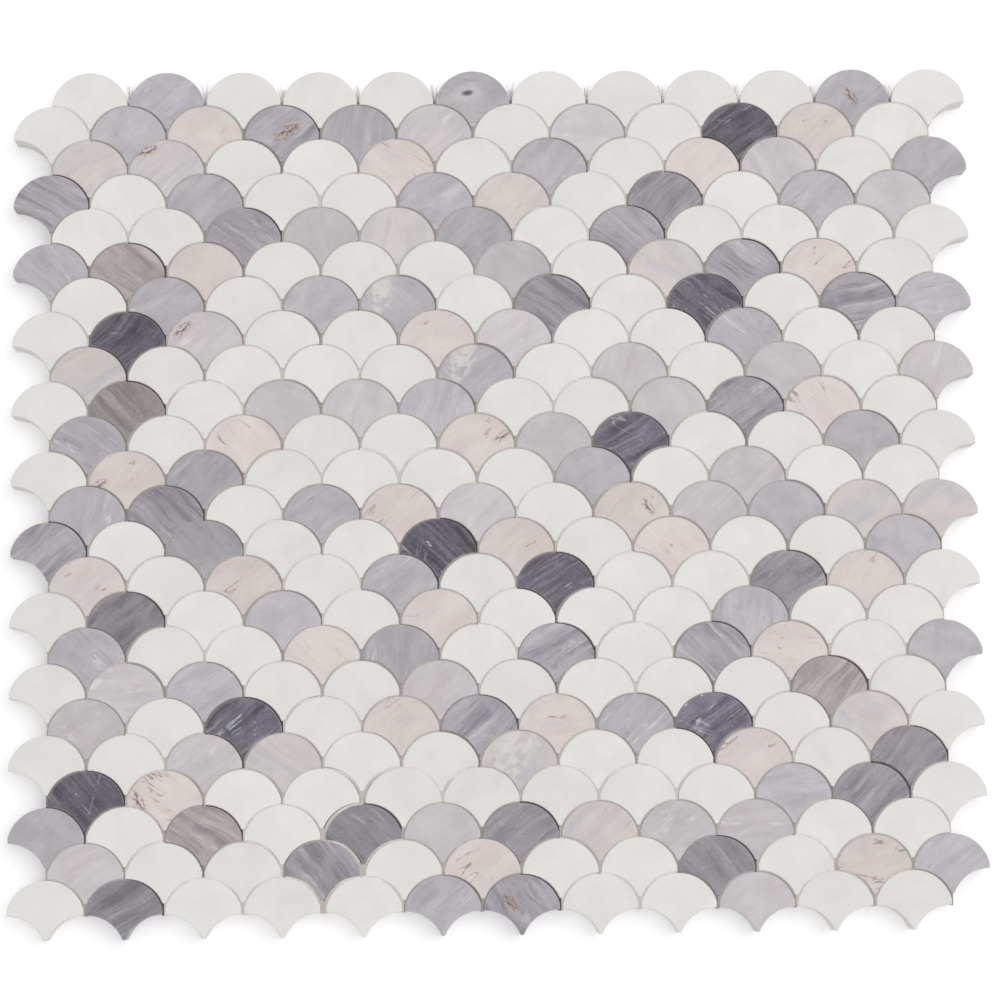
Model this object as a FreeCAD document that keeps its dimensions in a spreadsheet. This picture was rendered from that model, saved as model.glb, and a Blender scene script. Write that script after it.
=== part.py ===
"""Fish scale mosaic sheet: honed marble scales laid crown up on a fibreglass backing mesh.

The sheet lies flat with its face up. X runs along the rows, Y runs towards the crowns of the
scales and Z is the thickness. The origin is under the middle of the sheet, on its underside.
Every scale has the same outline: a round crown, two short straight sides, and two hollow arcs
of the crown's radius that sit over the crowns of the row below and meet in a blunt tip.
"""
import FreeCAD, Part
import math
import os
import Sketcher

os.makedirs("parts", exist_ok=True)
doc = FreeCAD.newDocument("fish_scale_sheet")

# Two levels closer than this are the same level, in millimetres
SAME_LEVEL = 0.01

# Driving sizes in millimetres, and counts
SIZES = (
    ("scale_width", "23.5", "width of one scale over its straight sides"),
    ("crown_rise", "8.94", "height of the crown above the straight sides"),
    ("side_height", "1.86", "length of each straight side"),
    ("tip_width", "0.9", "width of the blunt tip"),
    ("stone_thickness", "8.0", "thickness of the marble"),
    ("arris_size", "0.25", "eased edge round the face"),
    ("side_joint", "0.9", "open joint between neighbours in a row"),
    ("row_joint", "0.3", "open joint between the top of a crown and the row above"),
    ("scales_per_row", "12", "scales in each row"),
    ("row_count", "24", "rows in the sheet"),
    ("openings_per_scale", "5", "mesh openings across the pitch of two neighbouring scales"),
    ("strand_width", "0.75", "width of a mesh strand"),
    ("strand_thickness", "0.4", "thickness of a mesh strand"),
    ("mesh_top_setback", "4.7", "from the top crowns down to the top strand"),
    ("mesh_side_margin", "2.5", "from the outermost scale centres in to the mesh"),
    ("panels_across", "3", "mesh panels along a row"),
    ("panels_up", "3", "mesh panels up the sheet"),
)

sheet = doc.addObject("Spreadsheet::Sheet", "sizes")
for line, (alias, value, meaning) in enumerate(SIZES, start=1):
    sheet.set(f"A{line}", meaning)
    sheet.set(f"B{line}", value)
    sheet.setAlias(f"B{line}", alias)
doc.recompute()


def size(alias):
    """Return the number that the sheet holds under an alias."""
    return float(sheet.get(alias))


def count(alias):
    """Return the whole number that the sheet holds under an alias."""
    return int(round(size(alias)))


# Worked-out sizes of one scale, measured from the centre of its crown arc
half_width = size("scale_width") / 2
half_tip = size("tip_width") / 2
crown_rise = size("crown_rise")
crown_radius = (half_width**2 + crown_rise**2) / (2 * crown_rise)
side_top = crown_radius - crown_rise
side_bottom = side_top - size("side_height")
hollow_level = side_bottom - crown_radius
tip_level = hollow_level + math.sqrt(crown_radius**2 - (half_width - half_tip) ** 2)
column_pitch = size("scale_width") + size("side_joint")
row_pitch = size("row_joint") - hollow_level
mesh_pitch = column_pitch / count("openings_per_scale")

# Place of the rows, with the middle of the sheet at the origin
rows = count("row_count")
columns = count("scales_per_row")
sheet_height = (rows - 1) * row_pitch + crown_radius - tip_level
first_row_level = sheet_height / 2 - crown_radius
row_shift = column_pitch / 4
stone_bottom = size("strand_thickness")

# One letter for each kind of marble, and the node that its scales make
MARBLES = {
    "W": "white_marble_scales",
    "P": "pale_grey_marble_scales",
    "B": "blue_grey_marble_scales",
    "G": "striped_grey_marble_scales",
    "K": "charcoal_marble_scales",
    "C": "cream_rose_marble_scales",
    "S": "banded_marble_scales",
}

# Laying plan: one word for each row from the top, one letter for each scale from the left
LAYING_PLAN = """
    WBWWWBWWWWBW WBCGBPWPWKCW SPWWCWBWCPWB GWBWWBCWGWBP
    WWGPSBWGWWWW BGCWWWPWSGCW WBWBBWGWKWGB WKPWWCPWWBWW
    SWWWWBWPWPWP WGWPPBWWPGCW BWCWWCPKWWBW WCBWWWWBWPWW
    BGWBCPWCPBSS GWBWWKCWCWWB CWCWBWKWWGCW WGWBWCWWWBWW
    BWWCBWGWGCWB WPBWWPWWWWGW PWKWCGCBKWSW WWPSWWSWWCWG
    KCWWWWWWWBGW BWGWGPGSPPWW PWWGWCWWGWCB WGWWWBGWWPWW
""".split()


def side_line(side):
    """Return one straight side as a line; side is 1 for right and -1 for left."""
    top = FreeCAD.Vector(side * half_width, side_top, 0)
    bottom = FreeCAD.Vector(side * half_width, side_bottom, 0)
    return Part.LineSegment(top, bottom)


def hollow_arc(side):
    """Return one hollow arc, from the foot of a straight side to the tip."""
    centre = FreeCAD.Vector(side * half_width, hollow_level, 0)
    at_side = math.pi / 2
    at_tip = math.atan2(tip_level - hollow_level, side * (half_tip - half_width))
    circle = Part.Circle(centre, FreeCAD.Vector(0, 0, 1), crown_radius)
    return Part.ArcOfCircle(circle, min(at_side, at_tip), max(at_side, at_tip))


def build_scale_blank():
    """Make the one scale that every other is a copy of, as a sketch, a pad and an eased edge."""
    body = doc.addObject("PartDesign::Body", "ScaleBlank")
    body.Label = "scale_blank"
    plane = next(item for item in body.Origin.OriginFeatures if item.Role == "XY_Plane")
    outline = body.newObject("Sketcher::SketchObject", "ScaleOutline")
    outline.AttachmentSupport = [(plane, "")]
    outline.MapMode = "FlatFace"

    # Crown, sides, tip and hollow arcs
    root, start, end, middle = -1, 1, 2, 3
    crown_start = math.atan2(side_top, half_width)
    crown_circle = Part.Circle(FreeCAD.Vector(0, 0, 0), FreeCAD.Vector(0, 0, 1), crown_radius)
    crown = outline.addGeometry(Part.ArcOfCircle(crown_circle, crown_start, math.pi - crown_start))
    right_side = outline.addGeometry(side_line(1))
    left_side = outline.addGeometry(side_line(-1))
    right_hollow = outline.addGeometry(hollow_arc(1))
    left_hollow = outline.addGeometry(hollow_arc(-1))
    tip_left = FreeCAD.Vector(-half_tip, tip_level, 0)
    tip_right = FreeCAD.Vector(half_tip, tip_level, 0)
    tip = outline.addGeometry(Part.LineSegment(tip_left, tip_right))

    # Corners
    for first, first_point, second, second_point in (
        (crown, middle, root, start),
        (crown, start, right_side, start),
        (crown, end, left_side, start),
        (right_side, end, right_hollow, start),
        (left_side, end, left_hollow, end),
        (right_hollow, end, tip, end),
        (left_hollow, start, tip, start),
    ):
        corner = Sketcher.Constraint("Coincident", first, first_point, second, second_point)
        outline.addConstraint(corner)
    outline.addConstraint(Sketcher.Constraint("Vertical", right_side))
    outline.addConstraint(Sketcher.Constraint("Vertical", left_side))
    outline.addConstraint(Sketcher.Constraint("Horizontal", tip))

    # Sizes, each bound to the sheet
    half_width_rule = "sizes.scale_width / 2"
    radius_rule = f"(({half_width_rule})^2 + sizes.crown_rise^2) / (2 * sizes.crown_rise)"
    for rule, expression, constraint in (
        ("crown", radius_rule, ("Radius", crown, crown_radius)),
        ("right_half", half_width_rule, ("DistanceX", root, start, right_side, start, half_width)),
        ("left_half", half_width_rule, ("DistanceX", left_side, start, root, start, half_width)),
        ("right_edge", "sizes.side_height", ("DistanceY", right_side, end, right_side, start,
                                             size("side_height"))),
        ("left_edge", "sizes.side_height", ("DistanceY", left_side, end, left_side, start,
                                            size("side_height"))),
        ("right_hollow", radius_rule, ("Radius", right_hollow, crown_radius)),
        ("left_hollow", radius_rule, ("Radius", left_hollow, crown_radius)),
        ("right_centre", half_width_rule, ("DistanceX", root, start, right_hollow, middle,
                                           half_width)),
        ("left_centre", half_width_rule, ("DistanceX", left_hollow, middle, root, start,
                                          half_width)),
        ("tip_half", "sizes.tip_width / 2", ("DistanceX", root, start, tip, end, half_tip)),
    ):
        number = outline.addConstraint(Sketcher.Constraint(*constraint))
        outline.renameConstraint(number, rule)
        outline.setExpression(f"Constraints.{rule}", expression)
    doc.recompute()

    pad = body.newObject("PartDesign::Pad", "ScalePad")
    pad.Profile = outline
    pad.setExpression("Length", "sizes.stone_thickness")
    doc.recompute()

    face_edges = []
    for number, edge in enumerate(pad.Shape.Edges, start=1):
        if math.isclose(edge.BoundBox.ZMin, pad.Shape.BoundBox.ZMax, abs_tol=SAME_LEVEL):
            face_edges.append(f"Edge{number}")
    eased = body.newObject("PartDesign::Chamfer", "ScaleArris")
    eased.Base = (pad, face_edges)
    eased.setExpression("Size", "sizes.arris_size")
    body.Tip = eased
    doc.recompute()
    return body


def scale_place(row, column):
    """Return where the crown centre of one scale lies on the mesh; row 0 is the top row."""
    shift = row_shift if row % 2 == 0 else -row_shift
    across = (column - (columns - 1) / 2) * column_pitch + shift
    return FreeCAD.Vector(across, first_row_level - row * row_pitch, stone_bottom)


def build_scales(blank):
    """Lay the scales by the plan and make one piece for each kind of marble."""
    laid = {letter: [] for letter in MARBLES}
    for row in range(rows):
        word = LAYING_PLAN[row % len(LAYING_PLAN)]
        for column in range(columns):
            scale = blank.Shape.copy()
            scale.translate(scale_place(row, column))
            laid[word[column % len(word)]].append(scale)
    pieces = []
    for letter, scales in laid.items():
        piece = doc.addObject("Part::Feature", MARBLES[letter])
        piece.Label = MARBLES[letter]
        piece.Shape = Part.makeCompound(scales)
        pieces.append(piece)
    return pieces


def shares(total, groups):
    """Return the first and last opening of each group when openings are shared out evenly."""
    edges = [round(group * total / groups) for group in range(groups + 1)]
    return list(zip(edges[:-1], edges[1:]))


def panel_face(first_across, last_across, first_up, last_up, left, bottom, across, up):
    """Return the flat face of one mesh panel, a rectangle with a square hole for each opening.

    Two panels meet on the centre line of the strand between them, and a panel on the edge of
    the mesh has that edge's whole strand.
    """
    half_strand = size("strand_width") / 2
    low_x = left + first_across * mesh_pitch - (half_strand if first_across == 0 else 0)
    high_x = left + last_across * mesh_pitch + (half_strand if last_across == across else 0)
    low_y = bottom + first_up * mesh_pitch - (half_strand if first_up == 0 else 0)
    high_y = bottom + last_up * mesh_pitch + (half_strand if last_up == up else 0)
    outline = rectangle(low_x, low_y, high_x, high_y)
    holes = []
    for column in range(first_across, last_across):
        for row in range(first_up, last_up):
            hole = rectangle(
                left + column * mesh_pitch + half_strand,
                bottom + row * mesh_pitch + half_strand,
                left + (column + 1) * mesh_pitch - half_strand,
                bottom + (row + 1) * mesh_pitch - half_strand,
            )
            hole.reverse()
            holes.append(hole)
    return Part.Face([outline] + holes)


def rectangle(low_x, low_y, high_x, high_y):
    """Return a closed wire round a rectangle on the underside of the sheet."""
    corners = [
        FreeCAD.Vector(low_x, low_y, 0),
        FreeCAD.Vector(high_x, low_y, 0),
        FreeCAD.Vector(high_x, high_y, 0),
        FreeCAD.Vector(low_x, high_y, 0),
    ]
    return Part.makePolygon(corners + corners[:1])


def build_mesh():
    """Make the backing mesh in panels that meet face to face, fused where strands cross.

    A strand runs up into every notch between the crowns of the top row. The mesh stops short of
    the sheet all round: below the top crowns, inside the notches of the two sides, and above the
    hollows of the bottom row.
    """
    strand = size("strand_width")
    notch = row_shift
    outer_centre = (columns - 1) / 2 * column_pitch + row_shift
    reach = outer_centre - size("mesh_side_margin") - strand / 2
    to_left = math.floor((reach + notch) / mesh_pitch)
    to_right = math.floor((reach - notch) / mesh_pitch)
    across = to_left + to_right
    left = notch - to_left * mesh_pitch
    top = first_row_level + crown_radius - size("mesh_top_setback") - strand / 2
    lowest = scale_place(rows - 1, 0).y + side_bottom + strand / 2
    up = math.floor((top - lowest) / mesh_pitch)
    bottom = top - up * mesh_pitch
    pieces = []
    for up_group, (first_up, last_up) in enumerate(shares(up, count("panels_up")), start=1):
        across_groups = shares(across, count("panels_across"))
        for across_group, (first_across, last_across) in enumerate(across_groups, start=1):
            name = f"mesh_panel_{up_group}_{across_group}"
            face = panel_face(first_across, last_across, first_up, last_up, left, bottom, across, up)
            piece = doc.addObject("Part::Feature", name)
            piece.Label = name
            piece.Shape = face.extrude(FreeCAD.Vector(0, 0, size("strand_thickness")))
            pieces.append(piece)
    return pieces


def check_document(pieces):
    """Stop with a plain message if an object failed or a piece isn't sound."""
    for item in doc.Objects:
        if "Invalid" in item.State or "Error" in item.State:
            raise RuntimeError(f"{item.Label} did not build: {item.State}")
    for piece in pieces:
        if piece.Shape.isNull() or not piece.Shape.isValid() or not piece.Shape.Solids:
            raise RuntimeError(f"{piece.Label} is not a sound solid")


def main():
    """Build the sheet, check every piece and write each one to its own file."""
    blank = build_scale_blank()
    pieces = build_scales(blank) + build_mesh()
    doc.recompute()
    check_document([blank] + pieces)
    for piece in pieces:
        piece.Shape.exportStep(os.path.join("parts", f"{piece.Label}.step"))
        print(piece.Label, len(piece.Shape.Solids), "solids", round(piece.Shape.Volume), "mm3")
    print("row pitch", round(row_pitch, 3), "crown radius", round(crown_radius, 3))
    print("tip level", round(tip_level, 3), "sheet height", round(sheet_height, 2))
    print("mesh pitch", round(mesh_pitch, 3))


main()
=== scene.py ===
"""Looks of a fish scale mosaic sheet: honed marble scales glued crown up on a glass fibre mesh.

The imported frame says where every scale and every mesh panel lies. Each kind of marble becomes
one piece of eased, slightly uneven scales, the flat panels become one woven mesh in two sets of
threads, and the sheet lies on a pale floor under soft light, seen from nearly overhead.
"""

import logging
import math
from dataclasses import dataclass, field
from enum import Enum
from typing import Any, Sequence

import bpy
import numpy as np
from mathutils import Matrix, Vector


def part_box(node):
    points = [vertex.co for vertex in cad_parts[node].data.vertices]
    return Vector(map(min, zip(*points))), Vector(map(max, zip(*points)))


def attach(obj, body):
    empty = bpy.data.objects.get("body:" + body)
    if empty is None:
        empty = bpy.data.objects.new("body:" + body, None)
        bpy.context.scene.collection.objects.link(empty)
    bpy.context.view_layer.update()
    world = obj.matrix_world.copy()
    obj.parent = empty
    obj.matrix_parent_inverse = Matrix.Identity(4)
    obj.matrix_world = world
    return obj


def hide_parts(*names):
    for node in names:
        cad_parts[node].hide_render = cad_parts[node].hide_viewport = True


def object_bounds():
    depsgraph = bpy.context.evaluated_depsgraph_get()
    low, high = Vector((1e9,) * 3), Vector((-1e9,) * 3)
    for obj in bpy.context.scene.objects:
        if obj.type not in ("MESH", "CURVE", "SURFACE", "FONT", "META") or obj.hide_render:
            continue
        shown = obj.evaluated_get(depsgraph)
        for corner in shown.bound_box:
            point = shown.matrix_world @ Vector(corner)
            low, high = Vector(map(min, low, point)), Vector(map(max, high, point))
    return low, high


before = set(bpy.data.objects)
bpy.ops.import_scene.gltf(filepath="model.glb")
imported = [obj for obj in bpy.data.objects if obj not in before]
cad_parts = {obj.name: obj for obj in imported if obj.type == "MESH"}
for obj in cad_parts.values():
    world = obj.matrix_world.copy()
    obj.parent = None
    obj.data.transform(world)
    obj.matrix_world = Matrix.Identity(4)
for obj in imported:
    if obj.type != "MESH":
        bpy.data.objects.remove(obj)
CAD_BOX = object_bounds()

MM = 0.001
BODY = "root"
SEED = 24
MARBLE_SEED_STEP = 10
LEFT_SEED_STEP = 5
log = logging.getLogger("fish_scale_sheet")

# Run of the grain on each scale, one word for each row from the top and one letter for each
# scale from the left: r rising to the right, f falling, v upright, l level, and a dot where no
# grain shows. A capital is a deeper stone of its kind.
GRAIN_PLAN = """
    .r...L....r. ...rVr...rr. rr..f.r.rf.r f.r..rr.R.r. ..f.vR.f.... ff......ffr.
    .r..f.F.f.ll .rr..rr..f.. r....r.v...v .F..vv...rf. F.f..r.r.... .rR......r..
    vF.rrr.rr.rr r.F..fr.f... r.r.r.r..Rr. .R...r...v.. f..fV.r.fl.. .lr..r....r.
    r.r.rrlrr.f. ..rf..v..r.R ff...r...lr. ..f.F.Rrrl.. r..f.r..F.lr .R...rf..r..
""".split()

# Turn of the grain from the X axis, in degrees
GRAIN_TURN = {"r": 40.0, "f": -42.0, "v": 78.0, "l": 6.0}

# Share of its bands and veins that a scale with no clear grain shows
PLAIN_GRAIN = 0.4


class Mark(Enum):
    """A natural mark that a few of the scales carry."""

    KNOT = 1.0
    RUST = 2.0
    CLOUD = 3.0
    BROWN = 4.0


@dataclass(frozen=True)
class MarkedScale:
    """One scale with a natural mark: its place from the centre of the crown arc, size and run."""

    row: int
    place: int
    mark: Mark
    across_mm: float = 0.0
    up_mm: float = 0.0
    size: float = 1.0
    turn: float = 36.0


MARKED_SCALES = (
    MarkedScale(1, 6, Mark.KNOT, -1.6, 5.0, 1.0, 8.0),
    MarkedScale(1, 11, Mark.RUST, -0.5, 3.5, 0.8, -50.0),
    MarkedScale(2, 4, Mark.RUST, 2.0, 4.0, 1.25),
    MarkedScale(3, 2, Mark.RUST, -6.2, 8.6, 0.9, 32.0),
    MarkedScale(8, 3, Mark.RUST, -7.2, 6.5, 0.85, 48.0),
    MarkedScale(7, 5, Mark.CLOUD, -5.5, 6.5, 1.0, 80.0),
    MarkedScale(9, 6, Mark.CLOUD, -4.5, 6.5, 1.2, 60.0),
    MarkedScale(11, 6, Mark.RUST, 8.0, 5.0, 0.7),
    MarkedScale(12, 2, Mark.RUST, -9.0, 1.5, 0.7),
    MarkedScale(13, 8, Mark.RUST, 5.0, 4.8, 0.7, -50.0),
    MarkedScale(20, 7, Mark.CLOUD, -2.0, 5.0, 1.9, 50.0),
    MarkedScale(21, 2, Mark.RUST, -8.0, 3.0, 0.9, -55.0),
    MarkedScale(24, 7, Mark.RUST, -4.0, 4.0, 0.9, -40.0),
    MarkedScale(6, 2, Mark.BROWN),
    MarkedScale(10, 2, Mark.BROWN),
    MarkedScale(18, 11, Mark.BROWN),
    MarkedScale(22, 3, Mark.BROWN),
)


def linear(code: str) -> tuple[float, float, float, float]:
    """Turn a web colour into the linear colour that the shaders take.

    Args:
        code: The colour as # and six hexadecimal digits.

    Returns:
        Red, green, blue and an alpha of one.
    """
    shares = [int(code[start:start + 2], 16) / 255 for start in (1, 3, 5)]
    red, green, blue = (
        share / 12.92 if share <= 0.04045 else ((share + 0.055) / 1.055) ** 2.4 for share in shares
    )
    return red, green, blue, 1.0


class Bench:
    """A node tree with short calls that add nodes and wire them."""

    def __init__(self, tree: bpy.types.NodeTree) -> None:
        """Take the tree to build in."""
        self.tree = tree

    def add(self, kind: str, wires: dict | None = None, **settings: Any) -> bpy.types.Node:
        """Add a node.

        Args:
            kind: The node's type name.
            wires: For each input, by name or number, an output socket to link or a plain value.
            settings: Properties of the node, such as its operation.

        Returns:
            The new node.
        """
        node = self.tree.nodes.new(kind)
        for name, value in settings.items():
            setattr(node, name, value)
        for key, value in (wires or {}).items():
            self.wire(node.inputs[key], value)
        return node

    def wire(self, target: bpy.types.NodeSocket, value: Any) -> None:
        """Link an output socket to an input, or set the input to a plain value.

        Args:
            target: The input socket.
            value: The output socket, or the plain value.
        """
        if isinstance(value, bpy.types.NodeSocket):
            self.tree.links.new(value, target)
        else:
            target.default_value = value

    def maths(self, operation: str, first: Any, second: Any = 0.0, third: Any = 0.0) -> Any:
        """Add a Math node and return its output."""
        wires = {0: first, 1: second, 2: third}
        return self.add("ShaderNodeMath", wires, operation=operation).outputs[0]

    def vector(self, operation: str, first: Any, second: Any = (0.0, 0.0, 0.0)) -> Any:
        """Add a Vector Math node and return its vector output."""
        node = self.add("ShaderNodeVectorMath", {0: first, 1: second}, operation=operation)
        return node.outputs["Vector"]

    def distance(self, first: Any, second: Any) -> Any:
        """Return the distance between two points as an output socket."""
        node = self.add("ShaderNodeVectorMath", {0: first, 1: second}, operation="DISTANCE")
        return node.outputs["Value"]

    def scaled(self, vector: Any, factor: Any) -> Any:
        """Multiply a vector by one number and return it."""
        wires = {0: vector, "Scale": factor}
        return self.add("ShaderNodeVectorMath", wires, operation="SCALE").outputs[0]

    def turned(self, vector: Any, angle: Any) -> Any:
        """Turn a vector about the upright axis and return it."""
        wires = {"Vector": vector, "Angle": angle}
        return self.add("ShaderNodeVectorRotate", wires, rotation_type="Z_AXIS").outputs[0]

    def compose(self, across: Any = 0.0, up: Any = 0.0, out: Any = 0.0) -> Any:
        """Make a vector of three values and return it."""
        return self.add("ShaderNodeCombineXYZ", {"X": across, "Y": up, "Z": out}).outputs[0]

    def parts(self, vector: Any) -> Any:
        """Return the three parts of a vector, as sockets named X, Y and Z."""
        return self.add("ShaderNodeSeparateXYZ", {"Vector": vector}).outputs

    def ramp(self, value: Any, low: Any, high: Any, start: Any = 0.0, end: Any = 1.0) -> Any:
        """Map a value smoothly from one range to another, held at both ends.

        Args:
            value: The value.
            low: The value that gives the start.
            high: The value that gives the end.
            start: The result up to low.
            end: The result from high on.

        Returns:
            The mapped value as an output socket.
        """
        wires = {"Value": value, "From Min": low, "From Max": high, "To Min": start, "To Max": end}
        node = self.add("ShaderNodeMapRange", wires, interpolation_type="SMOOTHSTEP")
        return node.outputs["Result"]

    def noise(self, point: Any, frequency: Any, detail: float = 3.0, rough: float = 0.5) -> Any:
        """Add a Noise texture at a frequency for each unit of the point, and return its value."""
        wires = {"Vector": point, "Scale": frequency, "Detail": detail, "Roughness": rough}
        return self.add("ShaderNodeTexNoise", wires).outputs["Fac"]

    def mix(self, share: Any, first: Any, second: Any, blend: str = "MIX") -> Any:
        """Mix two colours.

        Args:
            share: The share of the second colour.
            first: The first colour.
            second: The second colour.
            blend: The way of mixing.

        Returns:
            The colour as an output socket.
        """
        node = self.add("ShaderNodeMix", data_type="RGBA", blend_type=blend)
        self.wire(node.inputs["Factor"], share)
        self.wire(node.inputs[6], first)
        self.wire(node.inputs[7], second)
        return node.outputs[2]

    def bump(self, height: Any, distance: float, strength: float = 1.0) -> Any:
        """Add a Bump node and return its normal."""
        wires = {"Height": height, "Distance": distance, "Strength": strength}
        return self.add("ShaderNodeBump", wires).outputs["Normal"]

    def object_point(self) -> Any:
        """Return the point of the piece that a shader is at."""
        return self.add("ShaderNodeTexCoord").outputs["Object"]

    def attribute(self, name: str, output: str) -> Any:
        """Read a named attribute of the mesh in a shader."""
        return self.add("ShaderNodeAttribute", attribute_name=name).outputs[output]

    def stored(self, name: str) -> Any:
        """Read a named number of each point in a Geometry Nodes tree."""
        wires = {"Name": name}
        return self.add("GeometryNodeInputNamedAttribute", wires, data_type="FLOAT").outputs[0]

    def store(self, geometry: Any, name: str, value: Any, kind: str = "FLOAT") -> Any:
        """Keep a value on each point under a name, and return the geometry."""
        wires = {"Geometry": geometry, "Name": name, "Value": value}
        settings = {"data_type": kind, "domain": "POINT"}
        return self.add("GeometryNodeStoreNamedAttribute", wires, **settings).outputs[0]

    def close(self, out: Any, geometry: Any, material: Any) -> None:
        """End a Geometry Nodes tree: realize its instances and set the material.

        Args:
            out: The sockets that take the tree's outputs.
            geometry: What the tree has made.
            material: The material of all of it.
        """
        whole = self.add("GeometryNodeRealizeInstances", {"Geometry": geometry}).outputs[0]
        wires = {"Geometry": whole, "Material": material}
        self.wire(out[0], self.add("GeometryNodeSetMaterial", wires).outputs[0])


def new_group(name: str, inputs: dict[str, Any], outputs: dict[str, str]) -> tuple[Bench, Any, Any]:
    """Start a shader node group with named sockets.

    Args:
        name: The group's name.
        inputs: For each input its default: a number, or three numbers for a vector.
        outputs: For each output its socket type, Float, Color or Vector.

    Returns:
        The bench, the sockets that give the group's inputs and those that take its outputs.
    """
    tree = bpy.data.node_groups.new(name, "ShaderNodeTree")
    for label, default in inputs.items():
        kind = "NodeSocketFloat" if isinstance(default, float) else "NodeSocketVector"
        tree.interface.new_socket(label, in_out="INPUT", socket_type=kind).default_value = default
    for label, kind in outputs.items():
        tree.interface.new_socket(label, in_out="OUTPUT", socket_type=f"NodeSocket{kind}")
    bench = Bench(tree)
    return bench, bench.add("NodeGroupInput").outputs, bench.add("NodeGroupOutput").inputs


def new_material(name: str) -> tuple[bpy.types.Material, Bench, bpy.types.Node]:
    """Start a material.

    Args:
        name: The material's name.

    Returns:
        The material, the bench of its tree and its shader node.
    """
    material = bpy.data.materials.new(name)
    material.use_nodes = True
    bench = Bench(material.node_tree)
    return material, bench, bench.tree.nodes["Principled BSDF"]


def arc(centre: Vector, radius: float, first: float, last: float, steps: int) -> list[Vector]:
    """List points along an arc.

    Args:
        centre: The arc's centre.
        radius: The arc's radius.
        first: The angle of the first point.
        last: The angle of the last point.
        steps: The number of straight steps.

    Returns:
        The points, one more than the steps.
    """
    angles = [first + (last - first) * step / steps for step in range(steps + 1)]
    return [centre + Vector((math.cos(angle), math.sin(angle))) * radius for angle in angles]


def closed_form(name: str, rings: Sequence[tuple[list[Vector], float]]) -> bpy.types.Object:
    """Make one closed body from outlines that lie above each other.

    Args:
        name: The object's name.
        rings: Outline and level of each ring from the bottom up, all with as many points.

    Returns:
        The object, for the laying tree to copy.
    """
    count = len(rings[0][0])
    points = [(point.x, point.y, level) for ring, level in rings for point in ring]
    faces = [tuple(reversed(range(count))), tuple(range(len(points) - count, len(points)))]
    for low in range(0, len(points) - count, count):
        for number in range(count):
            follow = (number + 1) % count
            faces.append((low + number, low + follow, low + count + follow, low + count + number))
    mesh = bpy.data.meshes.new(name)
    mesh.from_pydata(points, [], faces)
    mesh.validate()
    return bpy.data.objects.new(name, mesh)


def loose_points(
    name: str, spots: Sequence, numbers: dict | None = None, vectors: dict | None = None
) -> bpy.types.Object:
    """Make loose points that carry named values.

    Args:
        name: The object's name.
        spots: The place of each point.
        numbers: For each name, one number for each point.
        vectors: For each name, three numbers for each point.

    Returns:
        The object, for a tree to read.
    """
    mesh = bpy.data.meshes.new(name)
    mesh.from_pydata(spots, [], [])
    for kind, key, layers in (("FLOAT", "value", numbers), ("FLOAT_VECTOR", "vector", vectors)):
        for label, values in (layers or {}).items():
            layer = mesh.attributes.new(label, kind, "POINT")
            layer.data.foreach_set(key, np.asarray(values, np.float32).ravel())
    return bpy.data.objects.new(name, mesh)


def seat_level() -> float:
    """Return the level that the scales stand on, which is the top of the backing mesh."""
    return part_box("mesh_panel_1_1")[1].z


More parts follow.
